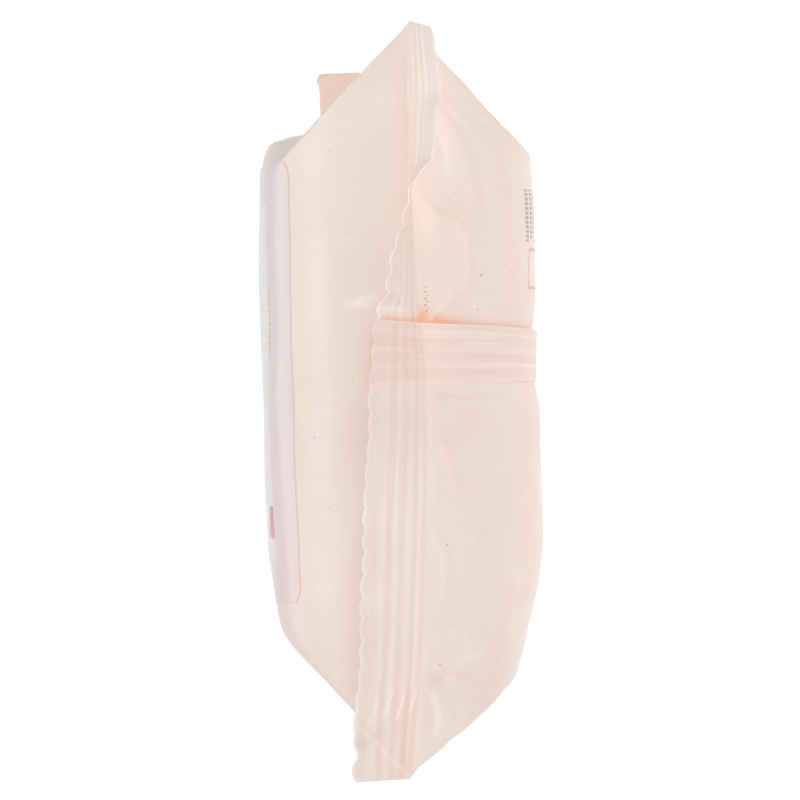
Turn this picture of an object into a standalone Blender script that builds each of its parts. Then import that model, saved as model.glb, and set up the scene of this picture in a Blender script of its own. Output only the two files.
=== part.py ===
"""A sealed pack of wet wipes: a soft film pillow lying on its back.

X runs across the pack, Y along it and Z through its thickness, in metres.
The film is one tube. Across both ends it is crimped flat into a seal whose cut
edge is a zigzag, and along the middle of the back its two edges are sealed
into a fin, which is folded flat towards +X. A large reseal label lies on the
front. The wipes fill the film, so the pack is one solid.

Every point of the film is named by where it lay when the film was flat: s is
its place across the pack, from -SEAL_LENGTH / 2 to +SEAL_LENGTH / 2, on the
front or on the back. Towards an end the film keeps its s and loses height,
which turns the side panels out into the two triangular ears.
"""

import math

import bpy
import numpy as np
from mathutils import Vector
from mathutils.geometry import tessellate_polygon

MM = 0.001

# Filled pack
PACK_WIDTH = 120 * MM
THICKNESS = 62 * MM
LENGTH = 184 * MM  # from the root of one end seal to the root of the other
BODY_SHIFT = -2.5 * MM  # the wipes have slid a little to the -X side
SIDE_BULGE = 2.5 * MM
PANEL_CROWN = 1.6 * MM
UPPER_FRONT_ROUND = 8 * MM
UPPER_FRONT_FULLNESS = 4.2 * MM  # the wipes press this edge out
UPPER_BACK_ROUND = 7 * MM
LOWER_FRONT_ROUND = 22 * MM  # the -X side is filled less
LOWER_BACK_ROUND = 6 * MM
HEEL_START = 36 * MM  # beyond this the back rises towards -X
HEEL_SLOPE = 0.27

# Ends of the pillow
SEAL_LENGTH = 165 * MM
END_DEPTH = 27 * MM  # length over which the panels turn down into the end
END_FULLNESS = 2.6
END_CONE = 0.14
SETTLE_LENGTH = 30 * MM  # length over which the shoulders open to the full body
SHOULDER_DROP = 1.4 * MM
SHOULDER_ROUND = 2.4 * MM
UPPER_FRONT_INSET = 7 * MM
UPPER_BACK_INSET = 3.7 * MM
LOWER_FRONT_INSET = 7.5 * MM
LOWER_BACK_INSET = -1.6 * MM
LOWER_END_ROUND = 0.27  # share of the round that is left at the shoulder

# Where each seal leaves the end, measured from the middle of the thickness.
# The near one wanders: pairs of a place, as a share of half the seal's length,
# and a height in millimetres.
NEAR_SEAL_LINE = (
    (-1.0, 0.7), (-0.97, 0.5), (-0.885, -0.4), (-0.8, -1.1), (-0.745, -1.9), (-0.533, -3.1),
    (-0.267, -4.5), (0.036, -5.5), (0.218, -4.5), (0.521, -3.8), (0.752, -4.0), (1.0, -4.6),
)
FAR_SEAL_DROP = 2.0 * MM
FAR_SEAL_RISE = 9.5 * MM  # towards +X

# Crimped flange of an end seal
FLANGE_WIDTH = 13.3 * MM
FLANGE_THICKNESS = 0.5 * MM
RIB_COUNT = 3
RIB_PITCH = 2.9 * MM
RIB_HEIGHT = 0.4 * MM
TOOTH_PITCH = 5 * MM
TOOTH_DEPTH = 0.9 * MM
# Lean towards the front in degrees. The near flange turns over along the seal
# and steps where the stiff fin crosses it: pairs of a place, as a share of half
# the seal's length, and a lean.
NEAR_LEAN = (
    (-1.0, 60), (-0.885, 69), (-0.727, 77), (-0.533, 79), (-0.315, 80), (-0.158, 73),
    (-0.053, 66), (0.036, 62), (0.133, 52), (0.196, 46), (0.223, 37), (0.291, 29),
    (0.395, 20), (0.448, 12), (0.527, 3), (0.582, -5), (0.63, -18), (0.691, -27),
    (0.8, -32), (0.945, -24), (1.0, -21),
)
FAR_LEAN = (84, 48)  # degrees at +X and at -X
FAR_TURN = (-12 * MM, 40 * MM)  # where the lean changes, and over what length
TIP_SLANT = 2.4 * MM  # by which the near flange's +X tip is cut back

# Fin seal along the back
FIN_ROOT = 3.2 * MM
FIN_WIDTH = 12 * MM
FIN_THICKNESS = 0.5 * MM
FIN_LIFT = 0.6 * MM  # gap under its free edge
FIN_PRESSED = 0.1 * MM  # the same gap inside the crimped flange
FIN_RIBS = 4
FIN_RIB_DEPTH = 0.25 * MM
FIN_BED = 5 * MM  # the wipes give way this far beside the fin

# Reseal label
LABEL_UPPER = 51 * MM
LABEL_LOWER = 44 * MM
LABEL_END_DEPTH = 17 * MM  # how far into the end it reaches, of END_DEPTH
LABEL_CORNER = 3.5 * MM
LABEL_THICKNESS = 0.3 * MM
LABEL_GAP = 0.4 * MM

SHOULDER_START = 0.9  # share of the height, above which the end turns over
SHOULDER_ROWS = 3
BODY_ROWS = 8


def smooth_min(a, b, width):
    """The lesser of a and b, with the corner between them rounded."""
    share = np.clip(0.5 + 0.5 * (b - a) / width, 0, 1)
    return b + (a - b) * share - width * share * (1 - share)


def smooth_max(a, b, width):
    return -smooth_min(-a, -b, width)


def ease(t):
    t = np.clip(t, 0, 1)
    return t * t * (3 - 2 * t)


def along_seal(s, pairs, blur):
    """A line through the pairs, smoothed over a share blur to either side."""
    places, values = np.array(pairs).T
    share = s / (SEAL_LENGTH / 2)
    return sum(np.interp(share + step, places, values) for step in np.linspace(-blur, blur, 7)) / 7


def near_seal_level(s):
    """Height of the near seal's root over the middle of the thickness."""
    return along_seal(s, NEAR_SEAL_LINE, 0.07) * MM


def far_seal_level(s):
    rise = np.clip((s - SEAL_LENGTH * 0.12) / (SEAL_LENGTH * 0.38), 0, 1)
    return FAR_SEAL_RISE * rise**1.8 - FAR_SEAL_DROP


def near_lean(s):
    """Lean of the near flange towards the front, in radians."""
    return np.radians(along_seal(s, NEAR_LEAN, 0.024))


def far_lean(s):
    middle = (FAR_LEAN[0] + FAR_LEAN[1]) / 2
    half = (FAR_LEAN[0] - FAR_LEAN[1]) / 2
    return np.radians(middle + half * np.tanh((s - FAR_TURN[0]) / FAR_TURN[1]))


def edge_round(way, front):
    """Roundness of an edge of the body between a panel and a side panel."""
    if front:
        return UPPER_FRONT_ROUND if way > 0 else LOWER_FRONT_ROUND
    return UPPER_BACK_ROUND if way > 0 else LOWER_BACK_ROUND


def fold_corner(height, y, way, front):
    """Where the edge between a panel and the side panel crosses the film, and
    where the middle of that side panel stands, both towards side way."""
    shoulder = LENGTH / 2 - END_DEPTH
    body = ease((shoulder - np.abs(y)) / SETTLE_LENGTH)
    upper, lower = (
        (UPPER_FRONT_INSET, LOWER_FRONT_INSET)
        if front
        else (UPPER_BACK_INSET, LOWER_BACK_INSET)
    )
    side = PACK_WIDTH / 2 + way * BODY_SHIFT
    inset = upper if way > 0 else lower
    fullness = UPPER_FRONT_FULLNESS if front and way > 0 else 0
    corner = side - inset * (1 - body) - (edge_round(way, front) / 8 - fullness) * body
    middle = side + SIDE_BULGE * (0.4 + 0.6 * body)
    half_seal = SEAL_LENGTH / 2
    return half_seal + (corner - half_seal) * height, half_seal + (middle - half_seal) * height


def on_folds(s, height, y, front):
    """Moves the column nearest each fold of the ears on to it, row by row, so
    that the fold has a clean edge."""
    s, height, y = np.broadcast_arrays(s, height, y)
    moved = s
    for way in (1, -1):
        corner = fold_corner(height, y, way, front)[0]
        steps = np.maximum(np.round((SEAL_LENGTH / 2 - corner) / TOOTH_PITCH), 1)
        nearest = SEAL_LENGTH / 2 - steps * TOOTH_PITCH
        share = np.clip(1 - np.abs(way * s - nearest) / TOOTH_PITCH, 0, 1)
        moved = moved + way * (corner - nearest) * share * (height < 1)
    return moved


def panel_height(s, body, front):
    """Height of the front or back panel from the middle of the thickness."""
    half = THICKNESS / 2 - SHOULDER_DROP * (1 - body)
    if front:
        return half - PANEL_CROWN * (2 * s / PACK_WIDTH) ** 2
    heel = smooth_max(HEEL_SLOPE * (-HEEL_START - s), 0 * s, 2 * MM)
    beside = np.maximum(FIN_ROOT - s, s - FIN_ROOT - FIN_WIDTH)
    bed = (FIN_LIFT + FIN_THICKNESS) * np.clip(1 - beside / FIN_BED, 0, 1)
    return half - heel - bed * body


def film(s, height, y, seal_level, front):
    """Point of the film. height is its share of the full height: 1 on the
    body, 0 at the seal. s, height and y broadcast against each other."""
    s, height, y = np.broadcast_arrays(s, height, y)
    half_seal = SEAL_LENGTH / 2
    shoulder = LENGTH / 2 - END_DEPTH
    body = ease((shoulder - np.abs(y)) / SETTLE_LENGTH)
    across = s
    rise = 1.0
    for way in (1, -1):
        corner, middle = fold_corner(height, y, way, front)
        full_round = edge_round(way, front)
        low_side = front and way < 0
        end_round = full_round * LOWER_END_ROUND * height if low_side else SHOULDER_ROUND
        width = end_round + (full_round - end_round) * body
        width = np.minimum(width, 0.9 * (half_seal - corner)) + 0.3 * MM
        reach = np.maximum(half_seal - corner, 1e-9)
        past = (way * s - corner) / reach
        past = smooth_max(past, 0 * past, width / reach)
        past = np.where(height > 0, np.clip(past, 0, 1), 0)
        across = way * smooth_min(way * across, corner, width) + way * (middle - corner) * past
        rise = np.minimum(rise, 1 - past)
    reached = np.clip(s, -PACK_WIDTH / 2 - 3 * MM, PACK_WIDTH / 2)
    panel = panel_height(reached, body, front)
    z = (1 - height) * seal_level(s) + (1 if front else -1) * height * panel * rise
    return np.stack([across, y, z], axis=-1)


def end_rows():
    """Height and set-back of the rows from the seal to the body. Down the end
    face the folds of the ears cross one column a row; over the shoulder the
    rows are evenly spaced."""
    fine = np.linspace(0, 1, 2001)
    round_part = (1 - fine**END_FULLNESS) ** (1 / END_FULLNESS)
    fine_back = END_DEPTH * (1 - (1 - END_CONE) * round_part - END_CONE * (1 - fine))
    inset = (UPPER_FRONT_INSET + UPPER_BACK_INSET) / 2
    reach = SEAL_LENGTH / 2 - PACK_WIDTH / 2 - BODY_SHIFT + inset
    step = TOOTH_PITCH / reach
    face = np.arange(0, SHOULDER_START, step)
    steps = np.hypot(np.diff(fine) * THICKNESS / 2, np.diff(fine_back))
    run = np.concatenate([[0], np.cumsum(steps)])
    even = np.linspace(np.interp(face[-1], fine, run), run[-1], SHOULDER_ROWS + 1)
    height = np.concatenate([face, np.interp(even[1:], run, fine)])
    return height, np.interp(height, fine, fine_back)


def flange_rows():
    """Distance from the root and rib offset of each row of a flange, from its
    cut edge inwards."""
    first = FLANGE_THICKNESS + RIB_PITCH * 0.9
    distance = [FLANGE_WIDTH]
    offset = [0.0]
    for rib in range(2 * RIB_COUNT, -1, -1):
        distance.append(first + RIB_PITCH * (rib - 1) / 2)
        offset.append(RIB_HEIGHT * (rib % 2))
    return np.array(distance), np.array(offset)


def loop_columns():
    """One row of the tube as a closed loop from the +X ear over the front to
    the -X ear and back over the back panel. Each column has its s, the face it
    lies on, and its lift and thickness as shares of the fin's."""
    count = 2 * round(SEAL_LENGTH / TOOTH_PITCH)
    even = np.linspace(SEAL_LENGTH / 2, -SEAL_LENGTH / 2, count + 1)
    columns = [(s, "front", 0.0, 0.0) for s in even[:-1]]
    free_edge = FIN_ROOT + FIN_WIDTH
    root = FIN_ROOT + FIN_THICKNESS
    columns += [(s, "back", 0.0, 0.0) for s in even[:0:-1] if s < FIN_ROOT - 0.2 * MM]
    columns.append((FIN_ROOT, "back", 0.0, 0.0))
    pitch = (free_edge - root) / (2 * FIN_RIBS)
    for step in range(2 * FIN_RIBS + 1):
        place = root + pitch * step
        kind = "rib" if step % 2 == 0 and 0 < step < 2 * FIN_RIBS else "fin"
        columns.append((place, kind, (place - root) / (free_edge - root), 1.0))
    under = [s for s in even[::-1] if root + 1 * MM < s < free_edge - 0.5 * MM]
    columns.append((free_edge, "fin", 1.0, 0.0))
    columns += [(s, "fin", (s - root) / (free_edge - root), 0.0) for s in under[::-1]]
    columns.append((root, "back", 0.0, 0.0))
    columns += [(s, "back", 0.0, 0.0) for s in even[:0:-1] if s > root + 1 * MM]
    return columns


def tooth(s):
    """Zigzag of the cut edge: a triangle wave of TOOTH_PITCH along the seal."""
    phase = (SEAL_LENGTH / 2 - s) / TOOTH_PITCH
    return TOOTH_DEPTH * (abs(2 * (phase - math.floor(phase)) - 1) - 0.5)


def end_block(way, s, front, seal_level, angle_at, slant):
    """Rows of one end from the cut edge of its flange to the shoulder. way is
    -1 at the near end and 1 at the far end."""
    distance, offset = flange_rows()
    height, back = end_rows()
    s = np.asarray(s)[None, :]
    angle = angle_at(s)
    reach = np.repeat(distance[:, None], s.shape[1], axis=1)
    reach[0] += [tooth(value) for value in s[0]]
    face = np.where(front[None, :], 1, -1) * FLANGE_THICKNESS / 2
    tip = np.abs(s) > SEAL_LENGTH / 2 - 1e-9
    through = np.where(tip, 0, face) + offset[:, None]
    cut_back = slant * ease((s / (SEAL_LENGTH / 2) - 0.73) / 0.27)
    flange = np.stack(
        [
            s - cut_back * distance[:, None] / FLANGE_WIDTH,
            way * (LENGTH / 2 + reach * np.cos(angle) - through * np.sin(angle)),
            seal_level(s) + reach * np.sin(angle) + through * np.cos(angle),
        ],
        axis=-1,
    )
    y = way * (LENGTH / 2 - back[1:, None])
    height = height[1:, None]
    fronts = film(on_folds(s, height, y, True), height, y, seal_level, True)
    backs = film(on_folds(s, height, y, False), height, y, seal_level, False)
    return np.concatenate([flange, np.where(front[None, :, None], fronts, backs)])


def tube_rows(s, front):
    """The film without its fin, as rows of points from the near to the far
    cut edge, for columns at s on the front or the back."""
    near = end_block(-1, s, front, near_seal_level, near_lean, TIP_SLANT)
    far = end_block(1, s, front, far_seal_level, far_lean, 0.0)
    shoulder = LENGTH / 2 - END_DEPTH
    y = np.linspace(-shoulder, shoulder, BODY_ROWS + 2)[1:-1, None]
    s = np.asarray(s)[None, :]
    fronts = film(s, 1.0, y, near_seal_level, True)
    backs = film(s, 1.0, y, near_seal_level, False)
    middle = np.where(front[None, :, None], fronts, backs)
    return np.concatenate([near, middle, far[::-1]])


def outward(rows, front):
    """Unit normals in the plane of Y and Z, out of the pack."""
    along = np.gradient(rows, axis=0)
    normal = np.stack([np.zeros_like(along[..., 0]), -along[..., 2], along[..., 1]], axis=-1)
    normal /= np.linalg.norm(normal, axis=-1, keepdims=True)
    return normal * np.where(front, 1, -1)[None, :, None]


def wrapper_rows():
    """Closed loops of the whole wrapper, and the outline of its cut edge laid
    flat, which tells how to close the two ends."""
    columns = loop_columns()
    s = np.array([column[0] for column in columns])
    kinds = [column[1] for column in columns]
    front = np.array([kind == "front" for kind in kinds])
    lift = np.array([column[2] for column in columns])
    thick = np.array([column[3] for column in columns])
    rib = np.array([kind == "rib" for kind in kinds])
    rows = tube_rows(s, front)
    crimped = len(flange_rows()[0])
    pressed = np.zeros((len(rows), 1))
    pressed[:crimped] = pressed[-crimped:] = 1
    gap = FIN_LIFT * (1 - pressed) + FIN_PRESSED * pressed
    raised = np.array([kind in ("fin", "rib") for kind in kinds])
    stand = raised * (gap * lift + FIN_THICKNESS * thick) - FIN_RIB_DEPTH * rib
    rows = rows + outward(rows, front) * stand[..., None]
    edge = [
        Vector((place, (0.5 if is_front else -0.5) * FLANGE_THICKNESS - lifted, 0))
        for place, is_front, lifted in zip(s, front, stand[0])
    ]
    edge[0].y = 0
    edge[int(np.argmin(s))].y = 0
    return rows, edge


def ring_faces(first, second):
    """Faces of the wall between two closed rows. Each row maps the columns it
    has, in order, to vertices; a row may have more columns than the other."""
    shared = [column for column in first if column in second]
    columns = sorted(set(first) | set(second))
    faces = []
    for here, there in zip(shared, shared[1:] + shared[:1]):
        between = [c for c in columns if (here < c < there if here < there else c > here or c < there)]
        near = [first[c] for c in [here, *between, there] if c in first]
        far = [second[c] for c in [here, *between, there] if c in second]
        faces.append(near[::-1] + far)
    return faces


def split_outward(faces, points):
    """Quads cut in two along the diagonal that stands further out, as taut
    film does."""
    split = []
    for face in faces:
        if len(face) != 4:
            split.append(face)
            continue
        a, b, c, d = (np.asarray(points[vertex]) for vertex in face)
        if np.dot(a + c - b - d, np.cross(c - a, d - b)) > 0:
            split += [[face[0], face[1], face[2]], [face[0], face[2], face[3]]]
        else:
            split += [[face[1], face[2], face[3]], [face[1], face[3], face[0]]]
    return split


def mesh_object(name, points, faces, material, collection):
    mesh = bpy.data.meshes.new(name)
    mesh.from_pydata([tuple(point) for point in points], [], faces)
    mesh.materials.append(material)
    made = bpy.data.objects.new(name, mesh)
    collection.objects.link(made)
    mesh.shade_smooth()
    mesh.set_sharp_from_angle(angle=math.radians(35))
    return made


def make_material(name, colour, roughness):
    material = bpy.data.materials.new(name)
    material.use_nodes = True
    shader = material.node_tree.nodes["Principled BSDF"]
    shader.inputs["Base Color"].default_value = (*colour, 1)
    shader.inputs["Roughness"].default_value = roughness
    shader.inputs["Metallic"].default_value = 0
    return material


def make_wrapper(rows, edge, collection):
    """Closes the rows into one solid. Every column runs over the flanges; off
    them only the fin's and every second other column goes on."""
    columns = loop_columns()
    flange = len(flange_rows()[0])
    teeth = [round((SEAL_LENGTH / 2 - column[0]) / (TOOTH_PITCH / 2), 6) for column in columns]
    kept = [
        index
        for index, column in enumerate(columns)
        if column[1] in ("fin", "rib") or teeth[index] % 2 == 0 or teeth[index] % 1 != 0
    ]
    points = []
    rings = []
    for row, places in enumerate(rows):
        on_flange = row < flange or row >= len(rows) - flange
        ring = {}
        for column in range(len(columns)) if on_flange else kept:
            ring[column] = len(points)
            points.append(places[column])
        rings.append(ring)
    faces = []
    for first, second in zip(rings, rings[1:]):
        faces += split_outward(ring_faces(first, second), points)
    for a, b, c in tessellate_polygon([edge]):
        faces.append((a, b, c))
        faces.append((rings[-1][c], rings[-1][b], rings[-1][a]))
    film_material = make_material("peach_film", (0.82, 0.69, 0.62), 0.38)
    return mesh_object("wrapper", points, faces, film_material, collection)


def label_rows(shift):
    """The label as a grid that follows the front, LABEL_GAP above it."""
    shoulder = LENGTH / 2 - END_DEPTH
    height, back = end_rows()
    edge_back = END_DEPTH - LABEL_END_DEPTH
    turned = np.concatenate([[edge_back], back[(back > edge_back + 1 * MM) & (back < END_DEPTH - 1 * MM)]])
    y_near = -LENGTH / 2 + turned
    height_near = np.interp(turned, back, height)
    y_body = np.linspace(-shoulder, shoulder, BODY_ROWS + 2)
    y = np.concatenate([y_near, y_body, -y_near[::-1]])
    height = np.concatenate([height_near, np.ones(len(y_body)), height_near[::-1]])
    near_end = y - y[0]
    from_end = np.minimum(near_end, near_end[::-1])
    cut = np.clip(LABEL_CORNER - from_end, 0, None)
    inset = LABEL_CORNER - np.sqrt(LABEL_CORNER**2 - cut**2)
    columns = np.arange(SEAL_LENGTH / 2, -SEAL_LENGTH / 2, -TOOTH_PITCH)
    margin = TOOTH_PITCH / 4
    inner = columns[(columns < LABEL_UPPER - margin) & (columns > margin - LABEL_LOWER)]
    s = np.concatenate([[LABEL_UPPER], inner, [-LABEL_LOWER]])[None, :]
    for way, edge in ((1, LABEL_UPPER), (-1, LABEL_LOWER)):
        share = np.clip((way * s - edge + 2 * LABEL_CORNER) / (2 * LABEL_CORNER), 0, 1)
        s = s - way * share * inset[:, None]
    near = film(s, height[:, None], y[:, None], near_seal_level, True)
    far = film(s, height[:, None], y[:, None], far_seal_level, True)
    rows = np.where(y[:, None, None] < 0, near, far)
    normal = outward(rows, np.ones(rows.shape[1], bool))
    return rows + normal * LABEL_GAP + shift


def make_label(rows, collection):
    count, across = rows.shape[:2]
    faces = [
        (
            row * across + column,
            (row + 1) * across + column,
            (row + 1) * across + column + 1,
            row * across + column + 1,
        )
        for row in range(count - 1)
        for column in range(across - 1)
    ]
    faces = split_outward(faces, rows.reshape(-1, 3))
    material = make_material("label_print", (0.80, 0.71, 0.73), 0.3)
    label = mesh_object("reseal_label", rows.reshape(-1, 3), faces, material, collection)
    solidify = label.modifiers.new("Thickness", "SOLIDIFY")
    solidify.thickness = LABEL_THICKNESS
    solidify.offset = 1
    return label


for old in list(bpy.data.objects):
    bpy.data.objects.remove(old, do_unlink=True)

parts = bpy.data.collections.new("wet_wipes_pack")
bpy.context.scene.collection.children.link(parts)

rows, edge = wrapper_rows()
low = rows.reshape(-1, 3).min(axis=0)
high = rows.reshape(-1, 3).max(axis=0)
shift = np.array([-(low[0] + high[0]) / 2, -(low[1] + high[1]) / 2, -low[2]])
make_wrapper(rows + shift, edge, parts)
make_label(label_rows(shift), parts)
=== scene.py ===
"""Looks of a sealed pack of wet wipes that lies on its back.

The film is one surface. Each of its points is named by s, its place across the
flat film, and by run, how far along the film it lies from the root of the near
end seal. Everything in metres, in the frame's own axes: X across the pack, Y
along it, Z up through its thickness.
"""
import math

import bpy
import numpy as np
from mathutils import Matrix, Vector


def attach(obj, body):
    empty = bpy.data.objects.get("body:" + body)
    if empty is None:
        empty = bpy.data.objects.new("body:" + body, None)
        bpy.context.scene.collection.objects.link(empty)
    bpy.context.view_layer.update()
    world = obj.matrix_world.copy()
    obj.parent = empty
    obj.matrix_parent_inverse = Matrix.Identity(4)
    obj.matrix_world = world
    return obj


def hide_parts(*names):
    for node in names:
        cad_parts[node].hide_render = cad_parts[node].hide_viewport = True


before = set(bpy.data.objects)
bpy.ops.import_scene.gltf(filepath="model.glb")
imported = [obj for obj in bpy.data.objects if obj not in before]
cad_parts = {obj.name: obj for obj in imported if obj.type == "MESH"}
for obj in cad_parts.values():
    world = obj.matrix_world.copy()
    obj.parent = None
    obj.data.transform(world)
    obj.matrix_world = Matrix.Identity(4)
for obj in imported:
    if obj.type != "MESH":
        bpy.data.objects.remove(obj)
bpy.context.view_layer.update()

MM = 0.001

# The pack's own measures, the same as the frame's
PACK_WIDTH = 120 * MM
THICKNESS = 62 * MM
LENGTH = 184 * MM
BODY_SHIFT = -2.5 * MM
SIDE_BULGE = 2.5 * MM
PANEL_CROWN = 1.6 * MM
ROUNDS = {(1, True): 8 * MM, (1, False): 7 * MM, (-1, True): 27 * MM, (-1, False): 6 * MM}
BODY_INSETS = {(1, True): -4.3 * MM, (1, False): 0.9 * MM, (-1, True): 6.3 * MM, (-1, False): 0.75 * MM}
LOW_END_ROUND = 0.45
HEEL_START = 36 * MM
HEEL_SLOPE = 0.27
SEAL_LENGTH = 165 * MM
END_DEPTH = 27 * MM
END_FULLNESS = 2.6
END_CONE = 0.14
SETTLE_LENGTH = 30 * MM
SHOULDER_DROP = 1.4 * MM
SHOULDER_ROUND = 1.6 * MM
INSETS = {(1, True): 7 * MM, (1, False): 3.7 * MM, (-1, True): 5.5 * MM, (-1, False): -1.0 * MM}
FLANGE_WIDTH = 13.3 * MM
TOOTH_PITCH = 5 * MM
TOOTH_DEPTH = 0.62 * MM
FIN_ROOT = 3.2 * MM
FIN_WIDTH = 12 * MM
LABEL_UPPER = 53.5 * MM
LABEL_LOWER = 44 * MM
SHIFT = np.array([0.0, 2.2883 * MM, 31.0 * MM])

# Finer than the frame
FILM = 0.26 * MM
RIB_PITCH = 2.85 * MM
RIB_HEIGHT = 0.12 * MM
HALF = SEAL_LENGTH / 2
SHOULDER = LENGTH / 2 - END_DEPTH


def smooth_min(a, b, width):
    """The lesser of a and b; where they differ by less than width, a parabola."""
    share = np.clip(0.5 + 0.5 * (b - a) / width, 0, 1)
    return b + (a - b) * share - width * share * (1 - share)


def smooth_max(a, b, width):
    return -smooth_min(-a, -b, width)


def ease(t):
    t = np.clip(t, 0, 1)
    return t * t * (3 - 2 * t)


def bell(distance, width):
    return np.exp(-((distance / width) ** 2))


def lattice(seed, shape=(64, 64)):
    return np.random.default_rng(seed).random(shape) * 2 - 1


def drift(table, u, v):
    """Smooth noise from -1 to 1: the table's values on a unit grid, blended
    between neighbours with an eased weight."""
    iu, iv = np.floor(u).astype(int), np.floor(v).astype(int)
    fu, fv = ease(u - iu), ease(v - iv)
    rows, columns = table.shape
    a = table[iu % rows, iv % columns]
    b = table[(iu + 1) % rows, iv % columns]
    c = table[iu % rows, (iv + 1) % columns]
    d = table[(iu + 1) % rows, (iv + 1) % columns]
    return (a * (1 - fu) + b * fu) * (1 - fv) + (c * (1 - fu) + d * fu) * fv


# Along the near seal, at places given as a share of half its length: the
# height of its root over the middle of the thickness, in mm, and the lean of
# its flange towards the front, in degrees
NEAR_LEVEL = (
    (-1.0, 0.7), (-0.97, 0.5), (-0.885, -0.4), (-0.8, -1.1), (-0.745, -1.9), (-0.533, -3.1),
    (-0.267, -4.5), (0.036, -5.5), (0.218, -4.5), (0.521, -3.8), (0.752, -4.0), (1.0, -4.6),
)
NEAR_LEAN = (
    (-1.0, 60), (-0.885, 69), (-0.727, 77), (-0.533, 79), (-0.315, 80), (-0.158, 73),
    (-0.053, 66), (0.036, 62), (0.133, 52), (0.196, 46), (0.223, 37), (0.291, 29),
    (0.395, 20), (0.448, 12), (0.527, 3), (0.582, -5), (0.63, -18), (0.691, -27),
    (0.8, -32), (0.945, -24), (1.0, -23),
)


def along_seal(s, pairs, blur):
    """A line through the pairs, smoothed over a share blur to either side."""
    places, values = np.array(pairs).T
    return sum(np.interp(s / HALF + step, places, values) for step in np.linspace(-blur, blur, 7)) / 7


def seal_level(s, near):
    """Height of a seal's root over the middle of the thickness."""
    if near:
        return along_seal(s, NEAR_LEVEL, 0.07) * MM
    rise = np.clip((s - SEAL_LENGTH * 0.12) / (SEAL_LENGTH * 0.38), 0, 1)
    return 9.5 * MM * rise**1.8 - 2.0 * MM


def lean(s, near):
    """Lean of a flange towards the front, in radians: it turns over along the
    seal, and the near one steps where the stiff fin crosses it."""
    if near:
        angle = along_seal(s, NEAR_LEAN, 0.02)
        angle = angle + 1.2 * np.sin(s / (4.1 * MM)) + 0.8 * np.sin(s / (2.3 * MM) + 1)
    else:
        angle = 66 + 18 * np.tanh((s + 12 * MM) / (40 * MM)) + 2 * np.sin(s / (9 * MM))
    return np.radians(angle)


def panel_height(s, height, body, front):
    if front:
        return THICKNESS / 2 - SHOULDER_DROP * (1 - body) - PANEL_CROWN * (2 * s / PACK_WIDTH) ** 2
    half = THICKNESS / 2
    heel = smooth_max(HEEL_SLOPE * (-HEEL_START - s), 0 * s, 2 * MM)
    beside = np.maximum(FIN_ROOT - s, s - FIN_ROOT - FIN_WIDTH)
    bed = 0.95 * MM * np.clip(1 - beside / (5 * MM), 0, 1)
    return half - heel - bed * ease(2 * height - 1)


def fold_corner(height, body, way, front):
    """Where the edge between panel and side panel crosses the film, and where
    the middle of that side panel stands, both towards side way."""
    side = PACK_WIDTH / 2 + way * BODY_SHIFT
    corner = side - INSETS[way, front] * (1 - body) - BODY_INSETS[way, front] * body
    middle = side + SIDE_BULGE * (0.4 + 0.6 * body)
    return HALF + (corner - HALF) * height, HALF + (middle - HALF) * height


def section(s, height, y, near, front):
    """Point of the film: across, along and over the middle of the thickness."""
    body = ease((SHOULDER - np.abs(y)) / SETTLE_LENGTH)
    across = s
    rise = 1.0
    for way in (1, -1):
        corner, middle = fold_corner(height, body, way, front)
        low_side = front and way < 0
        full_round = ROUNDS[way, front]
        end_round = full_round * LOW_END_ROUND * height if low_side else SHOULDER_ROUND
        width = end_round + (full_round - end_round) * body
        width = np.minimum(width, 0.9 * (HALF - corner)) + 0.2 * MM
        reach = np.maximum(HALF - corner, 1e-9)
        past = smooth_max((way * s - corner) / reach, 0 * s, width / reach)
        past = np.where(height > 0, np.clip(past, 0, 1), 0)
        across = way * smooth_min(way * across, corner, width) + way * (middle - corner) * past
        rise = np.minimum(rise, 1 - past)
    panel = panel_height(np.clip(s, -PACK_WIDTH / 2 - 3 * MM, PACK_WIDTH / 2), height, body, front)
    z = (1 - height) * seal_level(s, near) + (1 if front else -1) * height * panel * rise
    return np.stack([across, y, z], axis=-1)


# The end's profile: height and set-back as functions of the run over the film
fine_height = np.linspace(0, 1, 4001)
fine_back = END_DEPTH * (
    1
    - (1 - END_CONE) * (1 - fine_height**END_FULLNESS) ** (1 / END_FULLNESS)
    - END_CONE * (1 - fine_height)
)
fine_run = np.concatenate(
    [[0], np.cumsum(np.hypot(np.diff(fine_height) * THICKNESS / 2, np.diff(fine_back)))]
)
END_RUN = fine_run[-1]
FULL_RUN = 2 * END_RUN + 2 * SHOULDER


def profile(run):
    """Height, y and end of the film at a run: down the near end, along the
    body and up the far end."""
    from_end = np.minimum(run, FULL_RUN - run)
    height = np.interp(from_end, fine_run, fine_height)
    back = np.interp(from_end, fine_run, fine_back) + np.maximum(from_end - END_RUN, 0)
    y = (back - LENGTH / 2) * np.where(run < FULL_RUN / 2, 1, -1)
    return height, y


def smooth_film(s, run, front):
    """The taut film without creases."""
    s, run = np.broadcast_arrays(s, run)
    height, y = profile(run)
    near = section(s, height, y, True, front)
    far = section(s, height, y, False, front)
    return np.where((y < 0)[..., None], near, far)


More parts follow.
